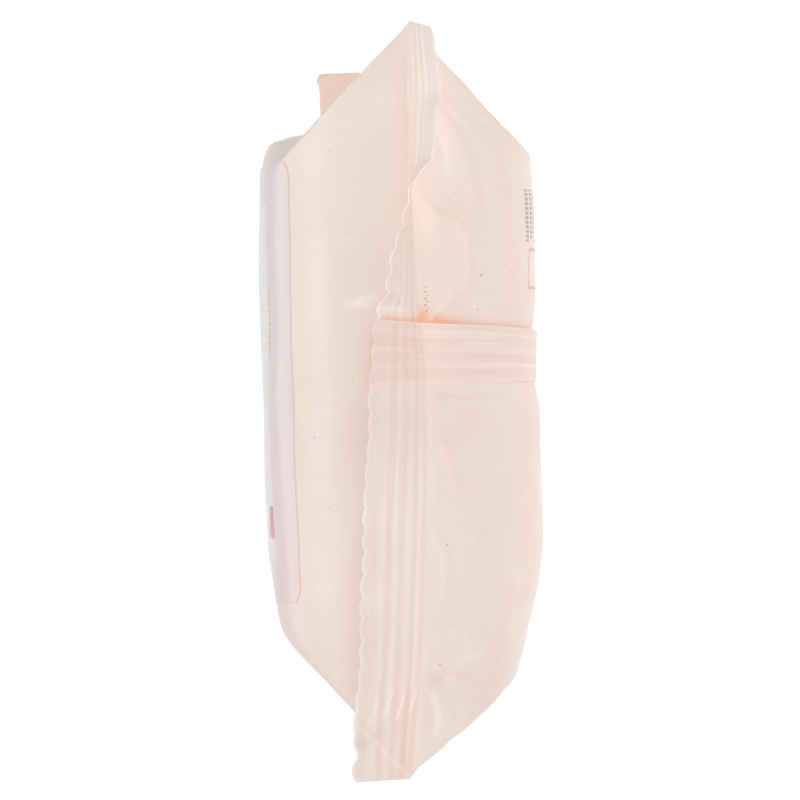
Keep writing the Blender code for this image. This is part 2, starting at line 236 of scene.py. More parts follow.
def crease(x, z, points, width, depth):
    """A ridge of the given width and depth along a line of points in the end
    view, fading out at its two ends."""
    best = np.full(np.broadcast(x, z).shape, 1e9)
    share = np.zeros_like(best)
    count = len(points) - 1
    for index, ((x0, z0), (x1, z1)) in enumerate(zip(points, points[1:])):
        dx, dz = (x1 - x0) * MM, (z1 - z0) * MM
        t = np.clip(((x - x0 * MM) * dx + (z - z0 * MM) * dz) / (dx * dx + dz * dz), 0, 1)
        distance = np.hypot(x - x0 * MM - t * dx, z - z0 * MM - t * dz)
        share = np.where(distance < best, (index + t) / count, share)
        best = np.minimum(best, distance)
    return depth * MM * bell(best, width * MM) * ease(share * 6) * ease((1 - share) * 6)


def dent(x, z, place, size, depth):
    return depth * MM * np.exp(
        -(((x - place[0] * MM) / (size[0] * MM)) ** 2) - (((z - place[1] * MM) / (size[1] * MM)) ** 2)
    )


# Creases and dents of the near end, on its front and on its back. A crease has
# its line in the end view (across, and over the middle of the thickness), its
# width, its height and its tone; a dent its place, size, height and tone, all
# in mm. The tone is painted light: above 0 a paler painted highlight, below 0
# a rosier painted shade.
NEAR_CREASES = {
    True: (
        (((22.9, 4.0), (22.4, 7.0), (20.9, 12.0)), 0.6, 0.45, 0.7),
        (((18.2, 5.0), (19.4, 8.6), (20.9, 12.0)), 0.6, 0.2, 0.1),
        (((70, 0), (60, 9), (48, 20)), 2.4, 0.2, 0.1),
        (((46, 21.5), (20, 21.8), (-10, 20.5)), 3.0, -0.3, -0.05),
    ),
    False: (
        (((44.5, -4.6), (40.6, -9.4), (38.6, -13.9), (35.6, -15.9), (31.5, -16.2)), 0.8, 0.45, -0.25),
        (((31.5, -16.2), (27.0, -16.4), (23.2, -14.6), (19.6, -9.0)), 0.8, 0.4, -0.25),
        (((17.0, -6.4), (20.2, -10.0), (23.2, -13.6)), 0.6, 0.55, 0.45),
        (((18.2, -7.0), (16.4, -12.0), (15.8, -17.0)), 1.0, 0.35, -0.2),
        (((1.9, -7.5), (0.3, -15.3), (1.2, -24.0)), 1.0, -0.7, -0.2),
        (((0.6, -9.5), (-0.9, -15.0), (-0.2, -21.0)), 0.7, 0.3, 0.3),
        (((-59.0, -4.8), (-59.6, -9.4), (-62.5, -14.0), (-64.6, -17.5)), 0.8, 0.6, -0.35),
        (((-59.6, -9.4), (-56.8, -12.5), (-55.8, -17.0)), 0.7, 0.4, 0.25),
        (((-63.0, -4.5), (-66.5, -6.6), (-70.0, -6.8), (-75.3, -4.9)), 0.9, 0.3, 0.12),
        (((-63.5, -4.2), (-69.0, -5.4), (-74.5, -4.6)), 0.9, -0.3, 0.1),
        (((-40.0, -23.4), (-47.0, -22.6), (-53.0, -20.7), (-60.5, -19.8)), 1.3, 0.5, -0.3),
        (((-36.0, -25.0), (-46.0, -24.4), (-54.0, -22.6)), 1.0, -0.35, 0.2),
        (((60.0, -23.0), (46.0, -24.3), (28.0, -25.2), (10.0, -25.6)), 1.6, -0.45, -0.3),
        (((58.0, -20.6), (44.0, -22.2), (26.0, -22.9)), 1.0, 0.3, 0.15),
        (((66.0, -9.0), (58.0, -14.0), (50.0, -17.0), (42.0, -18.0)), 1.4, 0.45, -0.2),
        (((63.0, -7.0), (55.0, -11.0), (47.0, -12.0)), 1.2, -0.4, 0.25),
        (((71.0, -7.0), (62.0, -15.0), (57.0, -19.0)), 0.9, 0.35, -0.15),
        (((-8.0, -9.0), (-18.0, -11.5), (-24.0, -16.0)), 1.2, 0.3, -0.25),
        (((-24.0, -16.0), (-29.0, -17.5), (-37.0, -15.0)), 1.1, -0.3, -0.2),
        (((-28.0, -6.0), (-34.0, -9.0), (-42.0, -9.0), (-47.0, -6.0)), 1.0, 0.3, -0.2),
        (((-50.0, -8.0), (-52.0, -13.0), (-57.0, -13.5)), 0.9, 0.35, 0.2),
        (((-66.0, -10.0), (-71.0, -10.5), (-76.0, -6.5)), 1.0, -0.35, -0.2),
    ),
}
NEAR_DENTS = {
    True: (
        ((0, 13), (26, 8), 0.4, 0.0),
        ((45, 10), (12, 9), -0.3, 0.1),
        ((20.9, 7.4), (1.3, 2.4), -0.5, 0.6),
    ),
    False: (
        ((31, -10.5), (6.0, 4.0), -0.5, 0.0),
        ((-60.6, -7.0), (1.3, 2.2), -1.3, -0.35),
        ((43.9, -19.6), (2.4, 1.1), -0.6, -0.45),
        ((38.0, -9.0), (5.0, 3.0), 0.5, 0.1),
        ((-30, -15), (14, 6), 0.45, 0.05),
        ((10, -14), (5, 6), 0.3, 0.08),
        ((-48, -15), (5, 4), -0.4, -0.15),
    ),
}
SPECKS = (
    (26.6, -18.7, 0.24), (24.4, -6.5, 0.15), (23.4, -6.2, 0.20), (22.6, -6.8, 0.14), (21.9, -6.3, 0.22),
    (21.2, -6.7, 0.18), (20.5, -6.2, 0.24), (19.9, -6.8, 0.13), (19.2, -6.4, 0.20), (-31.9, -9.2, 0.16),
    (-57.9, -6.8, 0.18), (12.4, -25.9, 0.24), (19.2, -17.6, 0.14), (-7.6, 19.0, 0.15), (-22.9, 16.1, 0.13),
)


SOFT = lattice(11)
FOLDS = lattice(23)
FINE = lattice(37)
BROAD = lattice(5)


def relief(s, run, front, base):
    """How far the film stands off its taut form, outwards: broad dents of the
    wipes, drawn creases out of the seals, and the near end's own creases."""
    x, z = base[..., 0], base[..., 2]
    from_end = np.minimum(run, FULL_RUN - run)
    near = run < FULL_RUN / 2
    at_end = ease((END_RUN * 1.3 - from_end) / (END_RUN * 0.5))
    hold = ease(from_end / (3 * MM))
    edge = np.clip((HALF - np.abs(s)) / (9 * MM), 0, 1)
    offset = 0.0 if front else 31.0
    out = 0.30 * MM * drift(SOFT, s / (17 * MM) + offset, run / (21 * MM) + 3 + offset)
    out = out + 0.08 * MM * drift(BROAD, s / (7 * MM) + offset, run / (10 * MM) + 9)
    # Creases drawn towards the seals: narrow across, long along the run.
    drawn = drift(FOLDS, s / (3.6 * MM) + 5, run / (24 * MM) + offset)
    out = out - (0.10 if front else 0.28) * MM * at_end * (1 - np.abs(drawn)) ** 4 * ease(from_end / (9 * MM))
    # Side panels buckle a little more.
    side = ease((np.abs(s) - 50 * MM) / (12 * MM)) * ease((from_end - 45 * MM) / (20 * MM))
    ridge = 1 - np.abs(drift(FOLDS, s / (11 * MM) + run / (34 * MM) + 17, run / (26 * MM) + offset))
    out = out + 0.75 * MM * side * (ridge**5 - 0.3)
    middle = ease((50 * MM - np.abs(s - 5 * MM)) / (10 * MM)) * ease((from_end - 38 * MM) / (14 * MM))
    flat_back = 0.0 if front else middle
    out = out * (1 - 0.92 * flat_back)
    local = sum(
        crease(x, z, points, width, depth) for points, width, depth, _ in NEAR_CREASES[front]
    ) + sum(dent(x, z, place, size, depth) for place, size, depth, _ in NEAR_DENTS[front])
    end_face = ease((END_RUN * 0.95 - from_end) / (END_RUN * 0.2))
    out = out + 0.7 * np.where(near, local, 0) * end_face
    return out * hold * (0.25 + 0.75 * edge)


def film_normal(s, run, front, step=0.25 * MM):
    """Outward unit normals of the taut film, by differences."""
    ds = smooth_film(s + step, run, front) - smooth_film(s - step, run, front)
    dr = smooth_film(s, run + step, front) - smooth_film(s, run - step, front)
    normal = np.cross(ds, dr) * (1 if front else -1)
    return normal / np.maximum(np.linalg.norm(normal, axis=-1, keepdims=True), 1e-12)


def film(s, run, front):
    """The film with its creases."""
    s, run = np.broadcast_arrays(s, run)
    base = smooth_film(s, run, front)
    inner = np.clip(s, -HALF + 0.6 * MM, HALF - 0.6 * MM)
    safe = np.clip(run, 0.5 * MM, FULL_RUN - 0.5 * MM)
    normal = film_normal(inner, safe, front)
    return base + normal * relief(s, run, front, base)[..., None]


def on_folds(s, run, front, spacing):
    """Moves the column nearest each ear's fold on to it, row by row."""
    s, run = np.broadcast_arrays(s, run)
    height, y = profile(run)
    body = ease((SHOULDER - np.abs(y)) / SETTLE_LENGTH)
    moved = s
    for way in (1, -1):
        corner = fold_corner(height, body, way, front)[0]
        steps = np.maximum(np.round((HALF - corner) / spacing), 1)
        nearest = HALF - steps * spacing
        share = np.clip(1 - np.abs(way * s - nearest) / spacing, 0, 1)
        moved = moved + way * (corner - nearest) * share * (height < 1)
    return moved


def tooth(s):
    """Wave of a cut edge: blunt, rounded teeth with narrow notches between."""
    wave = np.abs(np.sin(math.pi * (HALF - s) / TOOTH_PITCH + 0.35 * np.sin(s / (13 * MM)))) ** 0.8
    return TOOTH_DEPTH * (wave - 0.7) * (1 + 0.3 * np.sin(s / (9 * MM)))


def flange(s, distance, near, through):
    """Point of a flange: out from its root along its lean, with ribs pressed
    into it and a slight flutter towards the cut edge."""
    s, distance = np.broadcast_arrays(s, distance)
    way = -1 if near else 1
    share = distance / FLANGE_WIDTH
    angle = lean(s, near)
    cut = ease((share - 0.75) / 0.25) * (1.0 if near else 0.25 * ease((78 * MM - np.abs(s)) / (6 * MM)))
    reach = distance + tooth(s) * cut
    if not near:
        reach = reach - 2.4 * MM * share * ease((s - 68 * MM) / (14 * MM))
    rib = RIB_HEIGHT * np.sin(2 * math.pi * (distance - 0.5 * MM) / RIB_PITCH)
    rib = rib * ease((9.9 * MM - distance) / (1 * MM)) * ease(distance / (0.7 * MM)) * (0.8 if near else 0.4)
    flutter = share**1.5 * MM * (0.35 * np.sin(s / (3.4 * MM) + 2) + 0.3 * np.sin(s / (8.3 * MM)))
    if near:
        # A kink low down, where the ear's flange is bent over, and its crumple.
        flutter = flutter + 1.1 * MM * share * ease((-s - 60 * MM) / (4 * MM))
        flutter = flutter - 1.3 * MM * share * bell(s + 72.5 * MM + (distance - 6 * MM) * 0.5, 1.7 * MM)
        flutter = flutter + 1.0 * MM * share * bell(s + 77 * MM + (distance - 6 * MM) * 0.4, 1.6 * MM)
        flutter = flutter + 0.9 * MM * share * bell(s - 19.4 * MM, 1.4 * MM)
        turned = ease((s - 17 * MM) / (4 * MM)) * ease((56 * MM - s) / (8 * MM))
        ragged = 1 + 0.35 * np.sin(s / (7.1 * MM))
        flutter = flutter + turned * share**3 * ragged * tooth(s) * 2.0
        flutter = flutter + 0.8 * MM * share**2 * bell(s - 46.5 * MM, 1.5 * MM)
    out = through + rib + flutter
    y = way * (LENGTH / 2 + reach * np.cos(angle) - out * np.sin(angle))
    z = seal_level(s, near) + reach * np.sin(angle) + out * np.cos(angle)
    # The tips are cut a little slanting, and the film at them is drawn in.
    if near:
        x = s - 2.4 * MM * ease((s / HALF - 0.73) / 0.27) * share
    else:
        past = np.clip((distance - FLANGE_WIDTH) / MM + 1.8, 0, 1.8)
        x = s - (1.8 - np.sqrt(1.8**2 - past**2)) * MM * ease((np.abs(s) - 79 * MM) / (3.5 * MM)) * np.sign(s)
    return np.stack([x, y, z], axis=-1)


def finish_mesh(name, points, faces, attributes, material, sharp=40):
    """A mesh object from points, a list of face arrays and point attributes."""
    mesh = bpy.data.meshes.new(name)
    mesh.from_pydata(points, [], [tuple(face) for part in faces for face in part.tolist()])
    for key, values in attributes.items():
        layer = mesh.attributes.new(key, "FLOAT", "POINT")
        layer.data.foreach_set("value", np.asarray(values, np.float32).ravel())
    mesh.shade_smooth()
    mesh.set_sharp_from_angle(angle=math.radians(sharp))
    mesh.materials.append(material)
    made = bpy.data.objects.new(name, mesh)
    bpy.context.scene.collection.objects.link(made)
    return made


def end_caps(count, around, first_turned):
    """Strips that close the first and the last ring of a thin sheet's walls."""
    caps = []
    for row, turned in ((0, first_turned), (count - 1, not first_turned)):
        a = row * around + np.arange(around // 2)
        b = row * around + around - 1 - np.arange(around // 2)
        quads = np.stack([a[:-1], a[1:], b[1:], b[:-1]], axis=-1)
        caps.append(quads[:, ::-1] if turned else quads)
    return caps


def there_and_back(values):
    """Rows for the upper side and, turned round, for the under side."""
    return np.concatenate([values, values[:, ::-1]], axis=1)


def ring_quads(count, around, start=0):
    """Faces between closed rows of equal length."""
    index = np.arange(count * around).reshape(count, around) + start
    right = np.roll(index, -1, axis=1)
    return np.stack([index[:-1], index[1:], right[1:], right[:-1]], axis=-1).reshape(-1, 4)


# ---- Materials


class Wire:
    """A value in a material. Python's operators on it add Math nodes."""

    def __init__(self, paint, socket):
        self.paint, self.socket = paint, socket

    def math(self, operation, *others):
        return self.paint.node("ShaderNodeMath", {"operation": operation}, (self, *others))

    def __add__(self, other):
        return self.math("ADD", other)

    def __sub__(self, other):
        return self.math("SUBTRACT", other)

    def __rsub__(self, other):
        return self.paint.node("ShaderNodeMath", {"operation": "SUBTRACT"}, (other, self))

    def __mul__(self, other):
        return self.math("MULTIPLY", other)

    def __truediv__(self, other):
        return self.math("DIVIDE", other)

    __radd__ = __add__
    __rmul__ = __mul__


class Paint:
    """A material with one Principled shader, and a way to add nodes."""

    def __init__(self, name, **numbers):
        self.material = bpy.data.materials.new(name)
        self.material.use_nodes = True
        self.tree = self.material.node_tree
        self.shader = self.tree.nodes["Principled BSDF"]
        for key, value in numbers.items():
            self.shader.inputs[key.replace("_", " ")].default_value = value
        self.place = self.tree.nodes.new("ShaderNodeTexCoord").outputs["Object"]

    def node(self, kind, settings=None, values=(), output=0):
        """A node of a kind with its settings made first, then its sockets by
        order or by name; gives one of its outputs."""
        made = self.tree.nodes.new(kind)
        for key, value in (settings or {}).items():
            if key == "stops":
                ramp = made.color_ramp
                while len(ramp.elements) > 1:
                    ramp.elements.remove(ramp.elements[-1])
                ramp.elements[0].position, ramp.elements[0].color = value[0]
                for position, colour in value[1:]:
                    ramp.elements.new(position).color = colour
            else:
                setattr(made, key, value)
        pairs = values.items() if isinstance(values, dict) else enumerate(values)
        for key, value in pairs:
            if isinstance(value, Wire):
                self.tree.links.new(value.socket, made.inputs[key])
            elif value is not None:
                made.inputs[key].default_value = value
        return Wire(self, made.outputs[output])

    def read(self, name):
        return self.node("ShaderNodeAttribute", {"attribute_name": name}, (), "Fac")

    def at(self):
        return Wire(self, self.place)

    def axes(self):
        split = self.tree.nodes.new("ShaderNodeSeparateXYZ")
        self.tree.links.new(self.place, split.inputs[0])
        return [Wire(self, split.outputs[axis]) for axis in range(3)]

    def noise(self, scale, detail=3, roughness=0.5, vector=None):
        return self.node(
            "ShaderNodeTexNoise",
            None,
            {"Vector": vector or self.at(), "Scale": scale, "Detail": detail, "Roughness": roughness},
        )

    def mix(self, share, a, b):
        """A colour between a and b."""
        return self.node(
            "ShaderNodeMix", {"data_type": "RGBA"}, {"Factor": share, "A": a, "B": b}, "Result"
        )

    def band(self, value, low, high, soft):
        """1 between low and high, 0 outside, with soft edges."""
        smooth = {"interpolation_type": "SMOOTHSTEP"}
        up = self.node("ShaderNodeMapRange", smooth, (value, low - soft, low + soft))
        down = self.node("ShaderNodeMapRange", smooth, (value, high - soft, high + soft, 1.0, 0.0))
        return up * down

    def box(self, u, v, low, high, soft):
        """1 inside a rectangle."""
        return self.band(u, low[0], high[0], soft) * self.band(v, low[1], high[1], soft)

    def feed(self, socket, wire):
        self.tree.links.new(wire.socket, self.shader.inputs[socket])


def srgb(red, green, blue, alpha=1.0):
    """A colour written in the usual 0 to 255 steps, made linear."""
    linear = []
    for value in (red, green, blue):
        value /= 255
        linear.append(value / 12.92 if value <= 0.04045 else ((value + 0.055) / 1.055) ** 2.4)
    return (*linear, alpha)


PEACH = srgb(237, 223, 213)
PEACH_PALE = srgb(238, 225, 216)
WARM_SHADE_AND_GLOW = srgb(238, 186, 160)
ROSE_TINT = srgb(234, 212, 206)
PALE_HIGHLIGHT = srgb(250, 241, 234)
LILAC = srgb(227, 213, 215)
PINK_PRINT = srgb(232, 210, 212)
WHITE_PRINT = srgb(234, 230, 228)
ROSE = srgb(206, 112, 128)
ROSE_TINT_AND_SHADE = srgb(236, 200, 194)
INK = srgb(150, 148, 150)
INK_PALE = srgb(205, 201, 200)
SPECK = srgb(128, 108, 104)


# Corners of the rows of bars on the back, across and along, in metres
BACK_ROWS = (
    ((0.034, -0.0755), (0.0455, -0.0738)),
    ((0.0345, -0.0728), (0.0455, -0.0708)),
    ((0.034, -0.069), (0.045, -0.062)),
)


def film_finish(name, printed):
    """Pale peach film with a satin skin: soft patches, painted orange shade and
    glow in folds, painted rosier shade over a faint rose tint, painted bright
    highlights, tiny dark specks and faint scuffs."""
    paint = Paint(name, Roughness=0.36, IOR=1.46, Coat_Weight=0.12, Coat_Roughness=0.22)
    x, y, z = paint.axes()
    patches = paint.noise(38, 2, 0.5)
    colour = paint.mix(paint.band(patches, 0.52, 2.0, 0.12) * 0.7, PEACH, PEACH_PALE)
    moved = paint.node("ShaderNodeVectorMath", {"operation": "ADD"}, (paint.at(), (0.31, 0.17, 0.05)))
    blush = paint.noise(22, 3, 0.55, moved)
    colour = paint.mix(paint.band(blush, 0.54, 2.0, 0.08) * 0.5, colour, ROSE_TINT)
    # Painted light from the mesh's attributes: orange shade and glow in folds and slits, rosier shade in
    # creases and rib valleys over some real rose tint, bright highlights on ridges, ribs and cut edges.
    for tone, tint in (("rosy", ROSE_TINT_AND_SHADE), ("warm", WARM_SHADE_AND_GLOW), ("pale", PALE_HIGHLIGHT)):
        colour = paint.mix(paint.node("ShaderNodeClamp", None, (paint.read(tone),)), colour, tint)
    nearest, fine = {"feature": "F1"}, {"Vector": paint.at(), "Scale": 380.0}
    cell = paint.node("ShaderNodeTexVoronoi", nearest, fine, "Distance")
    size = paint.node("ShaderNodeTexVoronoi", nearest, fine, "Color")
    pick = paint.node("ShaderNodeSeparateColor", None, (size,))
    speck = (1 - paint.band(cell, 0.07, 9.0, 0.03)) * paint.band(pick, 0.86, 2.0, 0.02)
    colour = paint.mix(speck * 0.35, colour, SPECK)
    for across, up, radius in SPECKS if printed else ():
        place = (across * MM, 0.0, up * MM + SHIFT[2])
        flat = paint.node("ShaderNodeVectorMath", {"operation": "MULTIPLY"}, (paint.at(), (1, 0, 1)))
        gap = paint.node("ShaderNodeVectorMath", {"operation": "DISTANCE"}, (flat, place), "Value")
        dot = (1 - paint.band(gap, radius * MM, 9.0, 0.00012)) * paint.band(y, -1.0, -0.075, 0.001)
        colour = paint.mix(dot * 0.62, colour, SPECK)
    if printed:
        back = paint.band(z, -1.0, 0.012, 0.002)
        ink = None
        # Plain rows of small bars and outlined boxes on the back, near its ends.
        for low, high in BACK_ROWS:
            bars = paint.node("ShaderNodeMath", {"operation": "FRACT"}, (x * (300.0 + 9000 * low[1] * -1),))
            row = paint.box(x, y, low, high, 0.0002) * paint.band(bars, 0.12, 0.8, 0.06)
            ink = row if ink is None else ink + row
        colour = paint.mix(ink * back * 0.8, colour, INK)
        frame_line = paint.box(x, y, (0.0235, -0.0745), (0.0325, -0.040), 0.0002) * (
            1 - paint.box(x, y, (0.0241, -0.0739), (0.0319, -0.0406), 0.0002)
        )
        colour = paint.mix(frame_line * back * 0.6, colour, ROSE)
    paint.feed("Base Color", colour)
    grain = paint.noise(900, 2, 0.6)
    ripple = paint.noise(130, 4, 0.62)
    scuff = paint.noise(60, 4, 0.6)
    paint.feed("Roughness", scuff * 0.18 + 0.27)
    bump = paint.node(
        "ShaderNodeBump", None, {"Strength": 0.30, "Distance": 0.0006, "Height": ripple + grain * 0.05}
    )
    paint.feed("Normal", bump)
    return paint.material


def label_finish():
    """The label's print: a lilac border, a white field and simple shapes."""
    paint = Paint("label_print", Roughness=0.3, IOR=1.46, Coat_Weight=0.2, Coat_Roughness=0.15)
    across, along = paint.read("across"), paint.read("along")
    edge = paint.read("edge")
    pinker = paint.node("ShaderNodeMapRange", None, (across, 0.01, -0.045))
    border = paint.mix(pinker, LILAC, PINK_PRINT)
    colour = paint.mix(paint.band(edge, 0.0095, 9.0, 0.0005), border, WHITE_PRINT)
    rim = 1 - paint.band(edge, 0.0006, 9.0, 0.0002)
    colour = paint.mix(rim * 0.3, colour, srgb(228, 206, 198))
    ticks = paint.node("ShaderNodeMath", {"operation": "FRACT"}, (across * 420.0,))
    marks = paint.box(across, along, (0.0268, 0.0150), (0.0428, 0.0260), 0.0002)
    marks = marks * paint.band(ticks, 0.15, 0.85, 0.06)
    colour = paint.mix(marks * 0.6, colour, INK_PALE)
    dots = paint.node("ShaderNodeMath", {"operation": "FRACT"}, (across * 700.0,))
    dotted = paint.box(across, along, (0.0107, 0.0083), (0.0259, 0.0090), 0.0001)
    dotted = dotted * paint.band(dots, 0.2, 0.8, 0.1)
    colour = paint.mix(dotted * 0.7, colour, ROSE)
    block = paint.box(across, along, (-0.0297, 0.0098), (-0.0225, 0.030), 0.0002)
    colour = paint.mix(block * 0.9, colour, ROSE)
    paint.feed("Base Color", colour)
    ripple = paint.noise(120, 3, 0.6)
    paint.feed("Roughness", ripple * 0.12 + 0.24)
    bump = paint.node("ShaderNodeBump", None, {"Strength": 0.2, "Distance": 0.0004, "Height": ripple})
    paint.feed("Normal", bump)
    return paint.material


film_material = film_finish("peach_film", True)
fin_material = film_finish("fin_film", False)
label_material = label_finish()


# ---- The wrapper: one closed tube with its two flanges

PER_SIDE = 228
SPACING = SEAL_LENGTH / PER_SIDE


def slant(run):
    """Width of the fin as a share of its width along the back: it is folded a
    little askew on the near end."""
    return np.interp(run, [-FLANGE_WIDTH, 0, END_RUN, END_RUN + 20 * MM], [1.20, 1.12, 0.9, 1.0])


def between(value, low, high, soft):
    """1 between low and high, with soft edges."""
    return ease((value - low) / soft + 0.5) * ease((high - value) / soft + 0.5)


def fin_glow(beside, width):
    """1 along the fin's free edge, fading over width away from the fin; it places painted orange shade in the
    slit under that edge.
    """
    return bell(np.maximum(beside, 0), width) * (beside > -1.5 * MM)


def rib_lines(distance, marks):
    """Lines along a flange, from their places and widths in mm."""
    return sum(bell(distance - place * MM, width * MM) for place, width in marks)


def film_tones(s, run, front, x, z):
    """Share of painted orange shade and glow on the film: beside the seal's
    root, beside the flange's cut edge and round the fin. z is measured from the
    middle of the thickness."""
    from_end = np.minimum(run, FULL_RUN - run)
    near = (run < FULL_RUN / 2) * ease((END_RUN - from_end) / (8 * MM))
    glow = 0.05 * bell(from_end, 3.0 * MM)
    if front:
        # Painted orange glow along the seal's root on the upper front, and painted shade beside the flange's
        # cut edge.
        upper = ease((x - 36 * MM) / (12 * MM)) * ease((84 * MM - x) / (26 * MM))
        local = 0.20 * upper * bell(from_end, 2.6 * MM)
        beyond = z - seal_level(x, True) - FLANGE_WIDTH * np.sin(lean(x, True))
        shade = bell(beyond - 0.8 * MM, 2.6 * MM)
        local = local + 0.03 * between(x, -62 * MM, 46 * MM, 8 * MM) * shade
        local = local + 0.4 * between(x, 2.5 * MM, 17.5 * MM, 1.5 * MM) * bell(beyond - 0.2 * MM, 0.8 * MM)
        return glow + near * local
    # Painted orange shade in the slit under the fin's free edge, and painted shade patches on the back of the
    # near end.
    beside = s - FIN_ROOT - FIN_WIDTH * slant(run)
    slit = fin_glow(beside, 1.3 * MM)
    slit = slit + 0.9 * fin_glow(beside, 2.8 * MM) * bell(z + 4 * MM, 5 * MM)
    glow = glow + slit * (0.25 + near * (0.15 + 1.15 * bell(z + 4 * MM, 8 * MM)))
    local = 0.08 * between(x, 44 * MM, 78 * MM, 8 * MM) * bell(z + 6.4 * MM, 1.8 * MM)
    local = local + 0.10 * between(x, -78 * MM, -60 * MM, 6 * MM) * bell(z + 3.0 * MM, 2.5 * MM)
    local = local + 0.12 * between(x, 10 * MM, 44 * MM, 8 * MM) * bell(z + 11 * MM, 7 * MM)
    return glow + near * local


def crease_tones(run, front, x, z):
    """Shares of painted rosier shade and painted bright highlight along the near end's creases, and a faint
    rose tint over part of the back.
    """
    tone = sum(tone * crease(x, z, points, width + 0.2, 1) for points, width, _, tone in NEAR_CREASES[front])
    tone = tone + sum(tone * dent(x, z, place, size, 1) for place, size, _, tone in NEAR_DENTS[front])
    tone = np.where(run < END_RUN, tone / MM, 0)
    blush = 0.0 if front else 0.07 * between(x, -66 * MM, -8 * MM, 18 * MM) * (run < END_RUN)
    return np.clip(blush - 0.34 * tone, 0, 1), np.clip(0.8 * tone, 0, 1)


def flange_tones(s, distance, near, front):
    """Painted light on a flange: orange shade and glow, rosier shade in the ribs' valleys over a faint rose
    tint, and bright highlights on the cut edge and rib crests.
    """
    warm = 0.02 + 0.05 * bell(distance, 1.2 * MM)
    rosy = 0.17 * bell(distance - 1.9 * MM, 0.3 * MM) + 0.20 * bell(distance - 4.6 * MM, 0.6 * MM)
    rosy = rosy + 0.17 * bell(distance - 7.4 * MM, 0.5 * MM) + 0.07
    streak = drift(FINE, s / (15 * MM) + 3, distance / (0.62 * MM))
    rosy = rosy + 0.20 * streak
    uneven = 0.75 + 0.4 * drift(FINE, s / (1.7 * MM), 0 * s + 7.5)
    pale = 0.95 * bell(distance - FLANGE_WIDTH, 0.42 * MM) * uneven
    pale = pale + 0.20 * bell(distance - 1.0 * MM, 0.35 * MM) + 0.10 * bell(distance - 6.0 * MM, 0.4 * MM)
    pale = pale + 0.12 * bell(distance - 9.3 * MM, 0.6 * MM) + 0.12 * np.clip(-streak, 0, 1)
    # The far flange is painted more orange and less bright, as shade.
    if not near:
        return warm + 0.06 + 0.36 * ease((s - 48 * MM) / (18 * MM)), 0.5 * rosy, 0.4 * pale
    warm = warm + 0.30 * ease((-s - 61 * MM) / (3 * MM)) * bell(distance - 2.2 * MM, 2.4 * MM)
    warm = warm + 0.26 * ease((s - 38 * MM) / (8 * MM)) * bell(distance - 1.0 * MM, 1.8 * MM)
    warm = warm + 0.10 * ease((s - 52 * MM) / (8 * MM)) * bell(distance - 4.2 * MM, 0.8 * MM)
    beside = s - FIN_ROOT - FIN_WIDTH * slant(-distance)
    root = bell(distance - 0.6 * MM, 1.7 * MM) * fin_glow(beside, 2.3 * MM)
    strip = bell(beside - 2.4 * MM, 0.9 * MM) * ease((distance - 3 * MM) / (2 * MM))
    warm = warm + np.where(front, 0, 0.9 * fin_glow(beside, 0.9 * MM) + 0.5 * root)
    pale = pale + np.where(front, 0, 0.45 * strip)
    pale = pale + 0.8 * bell(s - 47.5 * MM, 3.2 * MM) * bell(distance - FLANGE_WIDTH, 2.2 * MM)
    # Painted highlights: bright strokes where the ribs buckle at the kink.
    down = -s - 64 * MM
    for place, start in ((0.2, -2.5), (2.6, -0.5), (5.6, -1.5), (8.2, 1.0)):
        line = bell(distance - place * MM - 0.2 * down - 0.012 / MM * down * down, 0.22 * MM)
        pale = pale + 0.6 * line * between(down, start * MM, (start + 6) * MM, 1.2 * MM)
    # Painted light on the upper flange: brighter overall, a touch more orange, and rosier lines.
    upper = ease((s - 40 * MM) / (10 * MM))
    rosy = rosy * (1 + 0.3 * upper) + 0.10 * upper * bell(distance - 6 * MM, 0.8 * MM)
    warm = warm + 0.06 * upper
    pale = pale + 0.40 * upper
    # A crease across the bent tip low down, painted as a bright highlight with rosier shade beside it.
    fold = distance - 1.0 * MM - 1.1 * (s + 81 * MM)
    tip = ease((-s - 68 * MM) / (3 * MM))
    pale = pale + tip * 0.3 * bell(fold, 0.9 * MM)
    beyond = distance - 10 * MM - 0.6 * (s + 72 * MM)
    rosy = rosy + tip * (0.2 * bell(fold + 1.4 * MM, 1.1 * MM) + 0.3 * bell(beyond, 0.7 * MM))
    return warm, rosy, pale


